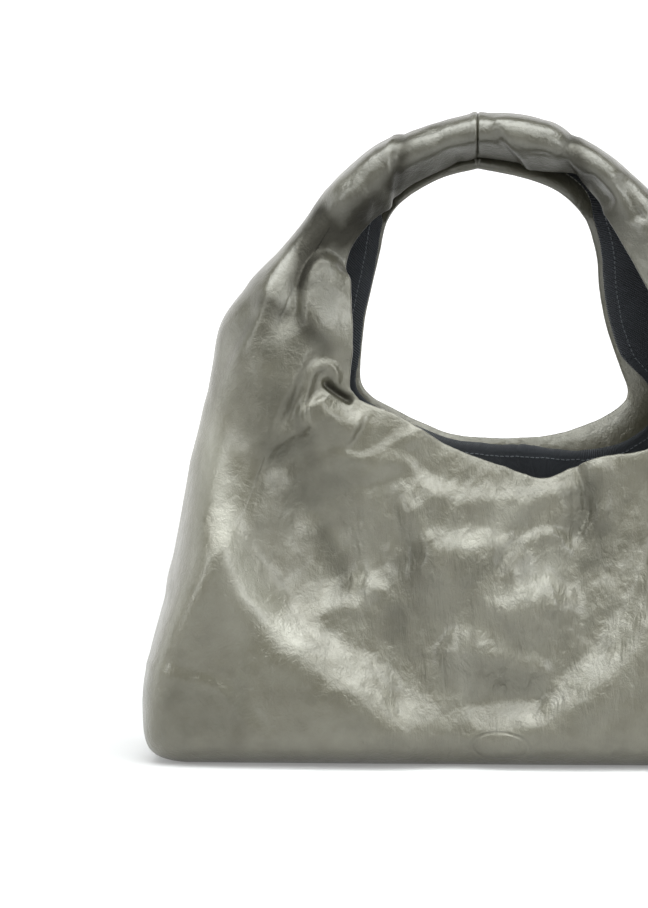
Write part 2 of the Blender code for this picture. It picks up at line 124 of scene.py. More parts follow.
FRONT_FOLDS = (
    # the lip stands forward of the slack middle
    ("ridge", ((-0.085, 0.222), (-0.050, 0.202), (-0.010, 0.184), (0.030, 0.173), (0.060, 0.184),
               (0.095, 0.196)), 0.020, 0.0055, 0.0),
    # the broad ridge round the slack middle of the front, from its bottom up both sides
    ("fall", ((-0.010, 0.018), (-0.044, 0.032), (-0.072, 0.046), (-0.100, 0.064), (-0.127, 0.090),
              (-0.147, 0.116), (-0.161, 0.144), (-0.171, 0.175), (-0.177, 0.213), (-0.180, 0.280)),
     0.0125, 0.0200, 0.085),
    ("fall", ((0.125, 0.200), (0.112, 0.160), (0.098, 0.125), (0.087, 0.097), (0.073, 0.072), (0.053, 0.054),
              (0.036, 0.041), (0.014, 0.032), (-0.012, 0.027), (-0.035, 0.017)),
     0.0095, 0.0150, 0.075),
    ("ridge", ((-0.020, 0.036), (0.007, 0.043), (0.034, 0.040)), 0.0085, -0.0022, 0.0),
    # the hollow left of the middle
    ("ridge", ((-0.128, 0.205), (-0.112, 0.168), (-0.098, 0.135), (-0.088, 0.100)), 0.024, -0.0100, 0.0),
    ("ridge", ((-0.166, 0.252), (-0.142, 0.238), (-0.116, 0.226)), 0.030, 0.0075, 0.0),
    # two bands under the mouth, with the valley between and below them
    ("step", ((0.062, 0.177), (0.030, 0.166), (0.000, 0.165), (-0.026, 0.166), (-0.043, 0.173),
              (-0.053, 0.186), (-0.066, 0.187), (-0.086, 0.174)), 0.0046, 0.0056, 0.020),
    ("step", ((0.018, 0.146), (-0.014, 0.137), (-0.034, 0.136), (-0.043, 0.146), (-0.050, 0.160),
              (-0.058, 0.169), (-0.072, 0.167), (-0.092, 0.173)), 0.0075, 0.0062, 0.026),
    ("ridge", ((-0.066, 0.170), (-0.062, 0.154), (-0.053, 0.136), (-0.046, 0.118)), 0.0070, -0.0030, 0.0),
    ("step", ((-0.036, 0.210), (-0.054, 0.204), (-0.067, 0.194), (-0.080, 0.189), (-0.100, 0.197)),
     0.0032, 0.0034, 0.014),
    # the creases that run down from the bands
    ("step", ((0.050, 0.138), (0.032, 0.144), (0.017, 0.138), (0.009, 0.124), (0.000, 0.104)), 0.0028, 0.0036,
     0.018),
    ("crease", ((0.0475, 0.190), (0.0545, 0.168), (0.0550, 0.152), (0.043, 0.134)), 0.0034, 0.0050, 0.0),
    ("ridge", ((0.062, 0.190), (0.064, 0.168), (0.066, 0.142)), 0.0070, 0.0030, 0.0),
    ("step", ((-0.066, 0.172), (-0.0573, 0.1565), (-0.0397, 0.1155), (-0.0210, 0.0710), (-0.012, 0.045)),
     0.0100, 0.0060, 0.045),
    ("ridge", ((-0.018, 0.110), (0.010, 0.098), (0.045, 0.105)), 0.0160, 0.0030, 0.0),
    ("crease", ((-0.017, 0.080), (-0.019, 0.056), (-0.017, 0.030)), 0.0022, 0.0016, 0.0),
    ("step", ((-0.044, 0.014), (-0.058, 0.034), (-0.072, 0.057), (-0.081, 0.078), (-0.083, 0.096),
              (-0.092, 0.114)), 0.0020, 0.0022, 0.016),
    ("ridge", ((-0.083, 0.152), (-0.080, 0.128), (-0.076, 0.102)), 0.0070, 0.0024, 0.0),
    ("crease", ((-0.128, 0.216), (-0.112, 0.192), (-0.0985, 0.172), (-0.079, 0.153)), 0.0012, 0.0011, 0.0),
    ("step", ((-0.052, 0.100), (-0.070, 0.112), (-0.094, 0.122)), 0.0050, 0.0022, 0.016),
    ("step", ((0.044, 0.064), (0.020, 0.069), (-0.012, 0.076), (-0.030, 0.088)), 0.0080, 0.0060, 0.022),
    ("step", ((0.058, 0.102), (0.036, 0.108), (0.010, 0.104), (-0.008, 0.094)), 0.0060, 0.0040, 0.022),
    ("step", ((-0.050, 0.050), (-0.078, 0.064), (-0.098, 0.074), (-0.112, 0.088)), 0.0060, 0.0036, 0.020),
    ("crease", ((0.026, 0.060), (0.0275, 0.028)), 0.0026, 0.0020, 0.0),
    # the curled pleat at the mouth's left corner
    ("ridge", ((-0.0930, 0.2250), (-0.0960, 0.2322), (-0.0997, 0.2400), (-0.1050, 0.2425), (-0.1104, 0.2400),
               (-0.1140, 0.2296), (-0.1160, 0.2125), (-0.1130, 0.1980)), 0.0038, 0.0038, 0.0),
    ("ridge", ((-0.0850, 0.2215), (-0.0925, 0.2262), (-0.0985, 0.2302), (-0.1030, 0.2340), (-0.1050, 0.2360)),
     0.0018, -0.0050, 0.0),
    ("ridge", ((-0.110, 0.226), (-0.098, 0.212), (-0.080, 0.203)), 0.0100, 0.0045, 0.0),
    # the shoulder: a soft valley to the mouth's edge
    ("step", ((-0.165, 0.296), (-0.147, 0.2854), (-0.1233, 0.2726), (-0.0975, 0.2490), (-0.080, 0.236)),
     0.0060, 0.0045, 0.032),
    # the left arm: a ridge along its outline, and a pad that stands out of the deep recess between them
    ("ridge", ((-0.1480, 0.2620), (-0.1360, 0.2900), (-0.1270, 0.3160), (-0.1190, 0.3360), (-0.1080, 0.3560)),
     0.0075, 0.0036, 0.0),
    ("ridge", ((-0.1020, 0.3560), (-0.0900, 0.3440), (-0.0760, 0.3440)), 0.0110, 0.0035, 0.0),
    ("step", ((-0.1170, 0.2600), (-0.1185, 0.2860), (-0.1150, 0.3020), (-0.1075, 0.3105), (-0.0975, 0.3085),
              (-0.0870, 0.3010), (-0.0600, 0.2930)), 0.0034, -0.0095, 0.020),
    # the handle: its lower half turned under, and the facets where it bends
    ("step", ((-0.1000, 0.332), (-0.0620, 0.3610), (-0.0330, 0.3750), (-0.0120, 0.3805), (0.0200, 0.3770),
              (0.0520, 0.3620), (0.0860, 0.3380)), 0.0050, 0.0054, 0.022),
    ("step", ((-0.0680, 0.330), (-0.0625, 0.362), (-0.0520, 0.400)), 0.0018, 0.0060, 0.024),
    ("crease", ((0.050, 0.396), (0.0435, 0.371), (0.052, 0.349), (0.066, 0.334)), 0.0032, 0.0056, 0.0),
    ("ridge", ((0.034, 0.392), (0.028, 0.374)), 0.0080, 0.0020, 0.0),
    ("step", ((-0.006, 0.392), (0.0150, 0.371), (0.028, 0.348)), 0.0020, 0.0046, 0.016),
    ("ridge", ((-0.040, 0.390), (-0.030, 0.376), (-0.018, 0.366)), 0.0060, -0.0018, 0.0),
    ("ridge", ((0.056, 0.362), (0.070, 0.338)), 0.0050, -0.0030, 0.0),
    ("ridge", ((0.074, 0.360), (0.090, 0.330)), 0.0050, -0.0030, 0.0),
    # the base corners
    ("step", ((-0.130, 0.012), (-0.147, 0.032), (-0.160, 0.045), (-0.172, 0.053), (-0.190, 0.057),
              (-0.205, 0.062), (-0.230, 0.060)), 0.0022, 0.0024, 0.026),
    ("ridge", ((-0.200, 0.140), (-0.1955, 0.096)), 0.0040, 0.0020, 0.0),
)


# the back is plain, with one soft fall at each side
BACK_FOLDS = (
    ("step", ((-0.020, 0.026), (-0.080, 0.036), (-0.130, 0.075), (-0.160, 0.130), (-0.172, 0.190)),
     0.010, 0.0060, 0.050),
    ("step", ((0.170, 0.200), (0.158, 0.140), (0.130, 0.080), (0.080, 0.040), (0.020, 0.026)),
     0.010, 0.0060, 0.050),
)


# Painted shade and painted highlight on the front's hide: painted shade, dull and dark, where the amount is
# above 0, and painted highlight, pale, where it is below 0. The line's points in X and Z, its width and its
# amount.
FRONT_PAINTED_SHADE_AND_HIGHLIGHT = (
    # painted shade: the left arm's recess, the arm above it, and the pad
    (((-0.1225, 0.284), (-0.1170, 0.304), (-0.1120, 0.316), (-0.1070, 0.330), (-0.1085, 0.347)),
     0.0060, 1.10),
    (((-0.1180, 0.302), (-0.1060, 0.323), (-0.0920, 0.322), (-0.0800, 0.330), (-0.0640, 0.346)),
     0.0110, 1.05),
    (((-0.1130, 0.258), (-0.1050, 0.280), (-0.0970, 0.300)), 0.0110, 0.26),
    # the handle's lower half and its facets
    (((-0.098, 0.328), (-0.065, 0.350), (-0.040, 0.362), (-0.012, 0.3655), (0.020, 0.3625), (0.050, 0.347),
      (0.084, 0.318)), 0.0090, 0.60),
    (((-0.0540, 0.386), (-0.0580, 0.368), (-0.0650, 0.348)), 0.0050, 0.80),
    (((0.0440, 0.388), (0.0490, 0.371), (0.0580, 0.348)), 0.0060, 0.70),
    # the hollow left of the middle, the shoulder's valley, the inside of the curl
    (((-0.142, 0.245), (-0.130, 0.210), (-0.122, 0.175), (-0.112, 0.145)), 0.0250, 0.42),
    (((-0.156, 0.272), (-0.134, 0.258), (-0.108, 0.250)), 0.0130, 0.32),
    (((-0.152, 0.288), (-0.1233, 0.2720), (-0.0950, 0.2470)), 0.0060, 0.55),
    (((-0.1050, 0.2345), (-0.0960, 0.2275), (-0.0845, 0.2200)), 0.0030, 0.90),
    # the middle: right of the bands, and the streak below them
    (((0.052, 0.180), (0.060, 0.150), (0.063, 0.112)), 0.0130, 0.40),
    (((-0.046, 0.142), (-0.055, 0.105), (-0.062, 0.066)), 0.0090, 0.34),
    (((-0.030, 0.122), (-0.002, 0.124), (0.020, 0.132)), 0.0080, 0.34),
    (((-0.110, 0.150), (-0.098, 0.128), (-0.088, 0.100)), 0.0090, 0.40),
    # the base corner
    (((-0.208, 0.040), (-0.180, 0.030), (-0.145, 0.022)), 0.0220, 0.26),
    # painted highlight: the ridge round the slack middle, the arm's outline, the bands and the patches below
    # them
    (((-0.177, 0.225), (-0.172, 0.185), (-0.1645, 0.155), (-0.1522, 0.120), (-0.1357, 0.093),
      (-0.105, 0.064)), 0.0090, -0.75),
    (((-0.140, 0.292), (-0.126, 0.320), (-0.105, 0.350), (-0.080, 0.370)), 0.0060, -0.25),
    (((-0.036, 0.146), (-0.015, 0.139), (0.005, 0.151), (0.018, 0.166)), 0.0080, -0.60),
    (((-0.012, 0.108), (0.006, 0.103), (0.030, 0.116), (0.045, 0.140)), 0.0090, -0.60),
    (((-0.100, 0.128), (-0.088, 0.140), (-0.080, 0.125), (-0.078, 0.090)), 0.0060, -0.50),
    (((-0.030, 0.094), (-0.018, 0.066), (-0.020, 0.036)), 0.0060, -0.45),
    (((0.080, 0.098), (0.064, 0.066), (0.040, 0.046)), 0.0080, -0.40),
)


def smooth(low, high, x):
    """0 up to low, 1 from high, and a soft way between."""
    s = np.clip((x - low) / (high - low), 0.0, 1.0)
    return s * s * (3 - 2 * s)


def rounded(points, steps=6):
    """A smooth line through the points."""
    p = np.array(points, float)
    if len(p) < 3:
        return p
    ends = np.vstack([2 * p[0] - p[1], p, 2 * p[-1] - p[-2]])
    line = []
    for i in range(len(p) - 1):
        a, b, c, d = ends[i:i + 4]
        for s in np.arange(steps) / steps:
            line.append(0.5 * (2 * b + (c - a) * s + (2 * a - 5 * b + 4 * c - d) * s**2
                               + (3 * b - a - 3 * c + d) * s**3))
    return np.array(line + [p[-1]])


def distance_to(line, x, z):
    """Distance to a line, positive on its left, and how far along it the nearest point lies, 0 to 1."""
    best = np.full(x.shape, 1e9)
    side = np.ones(x.shape)
    along = np.zeros(x.shape)
    total = np.linalg.norm(np.diff(line, axis=0), axis=1).sum()
    done = 0.0
    for a, b in zip(line, line[1:]):
        way = b - a
        length = np.linalg.norm(way)
        s = np.clip(((x - a[0]) * way[0] + (z - a[1]) * way[1]) / length**2, 0, 1)
        dx, dz = x - a[0] - s * way[0], z - a[1] - s * way[1]
        d = np.hypot(dx, dz)
        near = d < best
        best[near] = d[near]
        side[near] = np.where(way[0] * dz - way[1] * dx < 0, -1.0, 1.0)[near]
        along[near] = ((done + s * length) / total)[near]
        done += length
    return best * side, along


def softened(grid, times):
    """The grid of heights, each pass a little smoother along its rows and columns."""
    for _ in range(times):
        grid = np.pad(grid, 1, mode="edge")
        grid = (grid[:-2, 1:-1] + 2 * grid[1:-1, 1:-1] + grid[2:, 1:-1]) / 4
        grid = np.pad(grid, ((0, 0), (1, 1)), mode="edge")
        grid = (grid[:, :-2] + 2 * grid[:, 1:-1] + grid[:, 2:]) / 4
    return grid


def stroke(kind, points, width, height, reach, x, z):
    """The height that one stroke gives at each place. It dies out towards both its ends, and is softer
    away from its line."""
    d, along = distance_to(rounded(points), x, z)
    fade = smooth(0.0, ENDS, along) * smooth(0.0, ENDS, 1 - along)
    if kind == "ridge":
        lift = height * fade * np.exp(-(d / width) ** 2)
    elif kind == "crease":
        lift = -height * fade * np.exp(-np.sqrt(d**2 + 0.0008**2) / width)
    elif kind == "fall":
        lift = 0.5 * height * fade * np.tanh(d / width) * np.exp(-(d / reach) ** 2)
    else:
        lifted = 0.5 * (1 + np.tanh(d / width))
        lift = height * fade * lifted * np.exp(-(np.maximum(d, 0) / reach) ** 2)
    far = smooth(1.0, 3.5, np.abs(d) / width)
    return lift * (1 - far) + softened(lift, 14) * far


def noise_at(x, z, size, seed, octaves=3):
    """Soft noise, about -1 to 1, with features of this size."""
    layer = seed * 7.31
    flat = [noise.fractal((a / size, layer, b / size), 0.9, 2.1, octaves, noise_basis="PERLIN_ORIGINAL")
            for a, b in zip(x.ravel(), z.ravel())]
    return np.array(flat).reshape(x.shape)


def crumple(x, z, seed):
    """The small unevenness of soft hide: rounded dents with sharper lines between them."""
    wide = noise_at(x, z, 0.034, seed)
    lines = 1 - np.abs(noise_at(x, z, 0.019, seed + 1, 2)) * 2.2
    dents = noise_at(x, z, 0.0085, seed + 2, 2)
    drawn = noise_at(0.87 * x - 0.50 * z, 0.40 * (0.50 * x + 0.87 * z), 0.013, seed + 3, 3)
    return 0.0007 * wide + 0.00035 * np.clip(lines, 0, 1) ** 2 + 0.00022 * dents + 0.00065 * drawn


def slack(x, z):
    """Where the front is slack and creases most: the middle under the mouth, and the handle a little."""
    middle = smooth(0.165, 0.06, np.hypot(x - 0.002, (z - 0.105) * 1.15))
    return 0.40 + 1.10 * middle


def relief(strokes, x, z, seed):
    """The height of all the folds. Each stroke wanders a little, as a fold in hide does."""
    wander_x = x + WANDER * noise_at(x, z, WANDER_SIZE, seed + 5, 2)
    wander_z = z + WANDER * noise_at(x, z, WANDER_SIZE, seed + 7, 2)
    total = crumple(x, z, seed) * slack(x, z)
    for one in strokes:
        total += stroke(*one, wander_x, wander_z)
    return total


def painted_shade_and_highlight(side, x, z):
    """How much painted shade (up to 1) or painted highlight (down to -1) the hide takes at each place."""
    total = np.zeros_like(x)
    for points, width, amount in FRONT_PAINTED_SHADE_AND_HIGHLIGHT if side < 0 else ():
        total += stroke("ridge", points, width, amount, 0.0, x, z)
    return np.clip(total, -1, 1)


# ---- the form the sheets lie on -------------------------------------------------------------------

def ribs_at(t):
    """The rib at each place along the ring, by the same cubic as the CAD solids."""
    last = len(RIB_T) - 1
    i = np.clip(np.searchsorted(RIB_T, t, side="right") - 1, 0, last - 1)
    span = (RIB_T[i + 1] - RIB_T[i])[:, None]
    s = (t - RIB_T[i])[:, None] / span

    def slope(k):
        low, high = np.maximum(k - 1, 0), np.minimum(k + 1, last)
        return (RIBS[high] - RIBS[low]) / (RIB_T[high] - RIB_T[low])[:, None]

    ribs = (
        (2 * s**3 - 3 * s**2 + 1) * RIBS[i]
        + (s**3 - 2 * s**2 + s) * span * slope(i)
        + (3 * s**2 - 2 * s**3) * RIBS[i + 1]
        + (s**3 - s**2) * span * slope(i + 1)
    )
    ribs[:, 1] = np.maximum(ribs[:, 1], 0.0)
    return ribs


def form(side, t, shares):
    """Points of one half of the bag, a row for each t and a column for each share. A share is 0 at the
    lip, 1 where the wall ends, 2 where the turn ends and 3 at the seam round the bag."""
    ribs = ribs_at(t)
    outer = ribs[:, 0:2]
    lip = ribs[:, 2:4] if side < 0 else ribs[:, 4:6]
    depth, gap = ribs[:, 6:7], ribs[:, 7:8]
    reach = np.linalg.norm(outer - lip, axis=1)[:, None]
    round_share = smooth(0.0, 0.12, outer[:, 1])[:, None]
    round_y = np.minimum(depth * (0.38 + 0.62 * round_share), depth - 0.003)
    round_r = np.minimum(0.024 + 0.030 * round_share, 0.45 * reach)
    s = np.broadcast_to(shares, (len(t), np.shape(shares)[-1]))
    wall, turn, flat = np.clip(s, 0, 1), np.clip(s - 1, 0, 1), np.clip(s - 2, 0, 1)
    angle = turn * math.pi / 2
    radial = wall * (reach - round_r) + round_r * np.sin(angle)
    bulge = np.sin(wall * math.pi / 2)
    lip_way = wall * (reach - round_r)
    if side > 0:
        # the back's lip hangs flat where the handle is closed, and leans back at the mouth
        closed = 1 - smooth(0.0040, 0.0120, gap)
        bulge = bulge ** (1 + closed)
        bulge = bulge + (1 - closed) * FLARE / (depth - gap) * np.exp(-lip_way / 0.011)
    across = gap + (depth - gap) * bulge - round_y * (1 - np.cos(angle))
    across = across * (1 - flat) + 0.0001 * flat
    xz = lip[:, None, :] + (outer - lip)[:, None, :] * (radial / reach)[:, :, None]
    return np.stack([xz[:, :, 0], side * across, xz[:, :, 1]], axis=2)


def normals_of(points, side):
    """Normals out of the bag, with no slope across the seam round it."""
    n = side * np.cross(np.gradient(points, axis=0), np.gradient(points, axis=1))
    n[:, -1, 1] = 0.0
    return n / np.maximum(np.linalg.norm(n, axis=2, keepdims=True), 1e-9)


def ring_rows(spacing):
    """Places along the ring, closer together beside the handle's seam."""
    close = np.array([0.0, 0.0003, 0.0007, 0.0013, 0.0021, 0.0032])
    count = int((T_END - 2 * 0.005) / spacing)
    return np.concatenate([close, np.linspace(0.005, T_END - 0.005, count), T_END - close[::-1]])


def seam_dip(t):
    """How far the hide turns in at the handle's seam. The left edge stands a little prouder."""
    left, right = t, T_END - t
    turned = SEAM_TURN * (1 - smooth(0, 0.0007, left)) + SEAM_TURN * (1 - smooth(0, 0.0009, right))
    proud_left = 0.0009 * np.exp(-((left - 0.0022) / 0.0016) ** 2)
    proud_right = 0.0003 * np.exp(-((right - 0.0024) / 0.0016) ** 2)
    return proud_left + proud_right - turned


# ---- objects ------------------------------------------------------------------------------------

def mesh_of(name, points, faces, metric=None):
    """A smooth object from points and faces. metric holds each point's place on the flat hide or cloth."""
    mesh = bpy.data.meshes.new(name)
    mesh.from_pydata([tuple(p) for p in points], [], [tuple(f) for f in faces])
    mesh.validate()
    mesh.shade_smooth()
    if metric is not None:
        layer = mesh.attributes.new("flat_place", "FLOAT_VECTOR", "POINT")
        layer.data.foreach_set("vector", np.asarray(metric, np.float32).ravel())
        layer = mesh.attributes.new("rest_place", "FLOAT_VECTOR", "POINT")
        layer.data.foreach_set("vector", np.asarray(points, np.float32).ravel())
    obj = bpy.data.objects.new(name, mesh)
    bpy.context.scene.collection.objects.link(obj)
    return obj


def flat_places(points):
    """Metres along the ring and across it, for grain, weave and stitches."""
    middle = points[:, points.shape[1] // 2]
    along = np.concatenate([[0], np.cumsum(np.linalg.norm(np.diff(middle, axis=0), axis=1))])
    across = np.concatenate([np.zeros((len(points), 1)),
                             np.cumsum(np.linalg.norm(np.diff(points, axis=1), axis=2), axis=1)], axis=1)
    return np.stack([np.broadcast_to(along[:, None], across.shape), across, np.zeros(across.shape)], axis=2)


def sheet_object(name, points, normals, thickness, look, replaces):
    """A closed sheet: the points' skin, a second skin thickness further in, and a rim between them."""
    rows, columns = points.shape[:2]
    both = np.concatenate([points.reshape(-1, 3), (points - normals * thickness).reshape(-1, 3)])
    places = flat_places(points).reshape(-1, 3)
    index = np.arange(rows * columns).reshape(rows, columns)
    quads = np.stack([index[:-1, :-1], index[1:, :-1], index[1:, 1:], index[:-1, 1:]], axis=2).reshape(-1, 4)
    second = rows * columns
    rim = [index[i, 0] for i in range(rows)] + [index[-1, j] for j in range(1, columns)]
    rim += [index[i, -1] for i in range(rows - 2, -1, -1)] + [index[0, j] for j in range(columns - 2, 0, -1)]
    a = np.array(rim)
    b = np.roll(a, -1)
    rim_faces = np.stack([b, a, a + second, b + second], axis=1)
    faces = np.concatenate([quads, quads[:, ::-1] + second, rim_faces])
    p, q, r = (both[quads[:, k]] for k in (0, 1, 2))
    facing = np.cross(q - p, r - p)
    if np.einsum("ij,ij->i", facing, normals.reshape(-1, 3)[quads[:, 0]]).sum() < 0:
        faces = faces[:, ::-1]
    obj = mesh_of(name, both, faces.tolist(), np.concatenate([places, places]))
    obj.data.materials.append(look)
    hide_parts(*replaces)
    return obj


# ---- materials ----------------------------------------------------------------------------------

class Look:
    """A short way to write a material's node tree."""

    def __init__(self, name):
        self.material = bpy.data.materials.new(name)
        self.material.use_nodes = True
        self.nodes = self.material.node_tree.nodes
        self.links = self.material.node_tree.links
        self.shader = self.nodes["Principled BSDF"]

    def add(self, kind, inputs=(), **settings):
        node = self.nodes.new(kind)
        for key, value in settings.items():
            setattr(node, key, value)
        for key, value in dict(inputs).items():
            socket = node.inputs[key]
            if isinstance(value, bpy.types.NodeSocket):
                self.links.new(value, socket)
            else:
                socket.default_value = value
        return node

    def place(self, which="flat_place"):
        return self.add("ShaderNodeAttribute", attribute_name=which).outputs["Vector"]

    def turned(self, vector, angle, scale):
        inputs = {"Vector": vector, "Rotation": (0, angle, 0), "Scale": scale}
        return self.add("ShaderNodeMapping", inputs).outputs["Vector"]

    def position(self):
        return self.add("ShaderNodeTexCoord").outputs["Object"]

    def noise(self, vector, scale, detail=3.0, roughness=0.5, distortion=0.0):
        inputs = {"Vector": vector, "Scale": scale, "Detail": detail, "Roughness": roughness,
                  "Distortion": distortion}
        return self.add("ShaderNodeTexNoise", inputs).outputs["Fac"]

    def cells(self, vector, scale):
        node = self.add("ShaderNodeTexVoronoi", {"Vector": vector, "Scale": scale}, feature="SMOOTH_F1")
        return node.outputs["Distance"]

    def math(self, operation, a, b=0.0, c=0.0):
        return self.add("ShaderNodeMath", {0: a, 1: b, 2: c}, operation=operation).outputs[0]

    def remap(self, value, low, high, to_low=0.0, to_high=1.0):
        return self.add("ShaderNodeMapRange", {"Value": value, "From Min": low, "From Max": high,
                                               "To Min": to_low, "To Max": to_high}).outputs["Result"]

    def mix(self, share, a, b):
        node = self.add("ShaderNodeMix", {0: share}, data_type="RGBA")
        for socket, value in ((node.inputs[6], a), (node.inputs[7], b)):
            if isinstance(value, bpy.types.NodeSocket):
                self.links.new(value, socket)
            else:
                socket.default_value = (*value, 1.0)
        return node.outputs[2]

    def bump(self, height, strength, distance, normal=None):
        inputs = {"Height": height, "Strength": strength, "Distance": distance}
        if normal is not None:
            inputs["Normal"] = normal
        return self.add("ShaderNodeBump", inputs).outputs["Normal"]

    def set(self, **values):
        for key, value in values.items():
            socket = self.shader.inputs[key.replace("_", " ")]
            if isinstance(value, bpy.types.NodeSocket):
                self.links.new(value, socket)
            else:
                socket.default_value = value
        return self.material


def leather_look():
    """Soft hide with a pearly face: mottled, finely grained, streaked where the front is slack, with painted
    shade and highlight.
    """
    look = Look("pearl leather")
    at = look.place("rest_place")
    cloud = look.noise(at, 22.0, 4.0, 0.55)
    patch = look.noise(at, 75.0, 3.0, 0.5)
    grain = look.cells(at, 950.0)
    fine = look.noise(at, 2600.0, 2.0)
    axes = look.add("ShaderNodeSeparateXYZ", {0: at}).outputs
    dull = look.mix(look.remap(cloud, 0.3, 0.7), (0.094, 0.087, 0.056), (0.122, 0.115, 0.080))
    colour = look.mix(look.remap(patch, 0.35, 0.7, 0.0, 0.35), dull, (0.124, 0.122, 0.090))
    rough = look.math("ADD", look.remap(patch, 0.3, 0.7, 0.28, 0.37), look.remap(grain, 0.0, 1.0, 0.0, 0.06))
    pores = look.bump(grain, 0.35, 0.0003)
    mottle = look.bump(look.noise(at, 150.0, 5.0, 0.62, 0.8), 0.36, 0.0022, pores)
    # streaks drawn down and to the left, only in the slack middle of the front
    streak = look.noise(look.turned(at, math.radians(-30), (1.0, 1.0, 0.30)), 105.0, 6.0, 0.62, 0.5)
    from_middle = look.math("SQRT", look.math(
        "ADD", look.math("POWER", look.math("SUBTRACT", axes[0], 0.005), 2.0),
        look.math("POWER", look.math("SUBTRACT", axes[2], 0.100), 2.0)))
    amount = look.remap(from_middle, 0.05, 0.13, 1.0, 0.15)
    drawn = look.add("ShaderNodeBump", {"Height": streak, "Strength": amount, "Distance": 0.0042,
                                        "Normal": mottle}).outputs["Normal"]
    # a plain pressed oval low on the front
    oval = look.math("SQRT", look.math(
        "ADD", look.math("POWER", look.math("DIVIDE", look.math("SUBTRACT", axes[0], 0.0035), 0.0170), 2.0),
        look.math("POWER", look.math("DIVIDE", look.math("SUBTRACT", axes[2], 0.0145), 0.0088), 2.0)))
    line = look.remap(look.math("ABSOLUTE", look.math("SUBTRACT", oval, 1.0)), 0.03, 0.13)
    front = look.math("GREATER_THAN", axes[1], 0.0)
    pressed = look.bump(look.math("MAXIMUM", line, front), 0.8, 0.0007, drawn)
    skin = look.bump(fine, 0.15, 0.0002, pressed)
    # painted shade: the hide is painted a little darker upwards from z 0.22 to 0.32, over the handle
    held = look.remap(axes[2], 0.22, 0.32, 0.0, 0.85)
    colour = look.mix(held, colour, (0.050, 0.047, 0.031))
    # painted shade: dull and dark in the folds; painted highlight: pale along the ridges and bands
    shade_and_highlight_map = look.add("ShaderNodeAttribute", attribute_name="painted_shade_and_highlight").outputs["Fac"]
    shade_and_highlight_map = look.math("ADD", shade_and_highlight_map, look.remap(look.noise(at, 60.0, 4.0, 0.6), 0.3, 0.7, -0.14, 0.14))
    colour = look.mix(look.remap(shade_and_highlight_map, 0.0, 1.0, 0.0, 0.88), colour, (0.022, 0.020, 0.014))
    colour = look.mix(look.remap(shade_and_highlight_map, 0.0, -1.0, 0.0, 0.85), colour, (0.235, 0.230, 0.185))
    rough = look.math("ADD", rough, look.remap(shade_and_highlight_map, 0.0, 1.0, 0.0, 0.16))
    # the painted shade also darkens the sheen: more metal of a dark colour, less coat
    metal = look.remap(shade_and_highlight_map, 0.0, 0.9, 0.30, 0.80)
    coat = look.remap(shade_and_highlight_map, 0.0, 0.9, 0.50, 0.04)
    return look.set(Base_Color=colour, Roughness=rough, Metallic=metal, Normal=skin, IOR=1.85,
                    Coat_Weight=coat, Coat_Roughness=0.24)


def woven(look, place, pitch, dark, light, low=0.0, high=0.8):
    """Colour and normal of a diagonal weave of this pitch."""
    axes = look.add("ShaderNodeSeparateXYZ", {0: place}).outputs
    slant = look.math("ADD", look.math("MULTIPLY", axes[0], 0.80), look.math("MULTIPLY", axes[1], 0.60))
    rib = look.math("SINE", look.math("MULTIPLY", slant, 2 * math.pi / pitch))
    thread = look.math("SINE", look.math("MULTIPLY", axes[1], 2 * math.pi / (pitch * 0.55)))
    weave = look.math("ADD", look.math("MULTIPLY", rib, 0.75), look.math("MULTIPLY", thread, 0.25))
    return look.mix(look.remap(weave, -0.2, 1.0, low, high), dark, light), look.bump(weave, 0.7, pitch * 0.3)


def twill_look():
    look = Look("twill lining")
    fade = look.noise(look.position(), 40.0, 3.0)
    dark = look.mix(look.remap(fade, 0.3, 0.7), (0.005, 0.006, 0.008), (0.011, 0.013, 0.017))
    colour, normal = woven(look, look.place(), 0.0014, dark, (0.048, 0.056, 0.067))
    return look.set(Base_Color=colour, Roughness=0.72, Sheen_Weight=0.20, Sheen_Roughness=0.4, Normal=normal)


def cloth_look(name, pitch, dark, light):
    """Woven tape and pocket cloth on parts that have no flat_place of their own."""
    look = Look(name)
    axes = look.add("ShaderNodeSeparateXYZ", {0: look.position()}).outputs
    place = look.add("ShaderNodeCombineXYZ", {0: axes[0], 1: axes[2], 2: axes[1]}).outputs[0]
    colour, normal = woven(look, place, pitch, dark, light)
    return look.set(Base_Color=colour, Roughness=0.75, Normal=normal)


def thread_look(name, colour):
    look = Look(name)
    ply = look.noise(look.position(), 3000.0, 2.0)
    tint = look.mix(ply, tuple(0.7 * c for c in colour), colour)
    return look.set(Base_Color=tint, Roughness=0.55, Normal=look.bump(ply, 0.4, 0.0002))


def metal_look():
    look = Look("satin nickel")
    scuff = look.noise(look.position(), 700.0, 4.0)
    tint = look.mix(scuff, (0.50, 0.49, 0.46), (0.66, 0.65, 0.62))
    return look.set(Base_Color=tint, Metallic=1.0, Roughness=look.remap(scuff, 0.3, 0.7, 0.22, 0.36))


def board_look():
    look = Look("fibreboard")
    fibre = look.noise(look.position(), 500.0, 5.0)
    return look.set(Base_Color=look.mix(fibre, (0.20, 0.17, 0.13), (0.33, 0.29, 0.22)), Roughness=0.9,
                    Normal=look.bump(fibre, 0.4, 0.0004))


# ---- leather and lining -------------------------------------------------------------------------

LEATHER_LOOK = leather_look()
TWILL_LOOK = twill_look()


def wall_shares(count, turn, flat):
    """The columns' shares, with this many on the wall, in the turn and on the flat side."""
    return np.concatenate([np.linspace(0, 1, count, endpoint=False), np.linspace(1, 2, turn, endpoint=False),
                           np.linspace(2, 3, flat + 1)])


def held_flat(side, x, z):
    """1 where snap or pocket holds the leather to the form, 0 elsewhere."""
    snap_x, snap_z = SNAP_FRONT if side < 0 else SNAP_BACK
    held = 1 - smooth(0.009, 0.020, np.hypot(x - snap_x, z - snap_z))
    if side > 0:
        on_pocket = (1 - smooth(0.085, 0.115, np.abs(x))) * smooth(0.020, 0.040, z)
        held = np.maximum(held, on_pocket * (1 - smooth(0.138, 0.155, z)))
    return held


